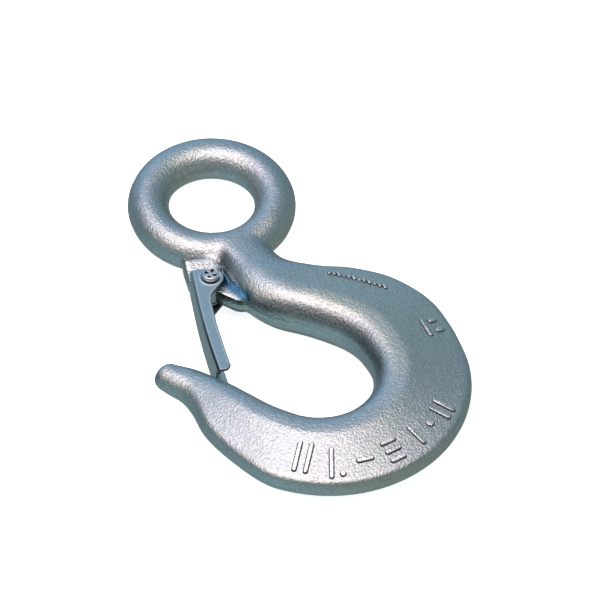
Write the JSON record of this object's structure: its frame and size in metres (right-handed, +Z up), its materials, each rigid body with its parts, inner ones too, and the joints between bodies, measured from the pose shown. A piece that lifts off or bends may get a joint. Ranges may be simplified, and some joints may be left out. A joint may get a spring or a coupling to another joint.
{
  "type": "eye hook with latch",
  "caption": "Forged lifting hook with a round eye, a deep bowl, a turned-out tip and a sprung latch that closes the throat.",
  "frame": {"origin": "centre of the bounding box's bottom face, under the middle of the hook as it lies flat", "axes": "+Y from the bowl to the eye along the load line, +Z up, normal to the hook's plane, +X towards the bowl's back, -X towards the tip and the latch"},
  "size_m": [0.1016, 0.1688, 0.0192],
  "materials": {
    "plated_forging": "zinc-plated, shot-blasted forging, satin with a fine grain",
    "plated_sheet": "zinc-plated pressed sheet, smooth satin, bluish",
    "rivet_steel": "plated rivet, brighter on its staked end",
    "spring_wire": "drawn spring wire, semi-bright"
  },
  "bodies": {
    "hook": {"hook_body": "plated_forging", "latch_pin": "rivet_steel", "latch_spring": "spring_wire"},
    "latch": {"latch": "plated_sheet"}
  },
  "joints": [
    {"name": "latch_pivot", "type": "hinge", "parent": "hook", "child": "latch", "pos_m": [-0.01606, 0.02092, 0.0096], "axis": [0, 0, 1], "range_deg": [0, 50], "stiffness_Nm_per_rad": 0.12, "springref_deg": -28.65, "deforming": ["latch_spring"]}
  ]
}
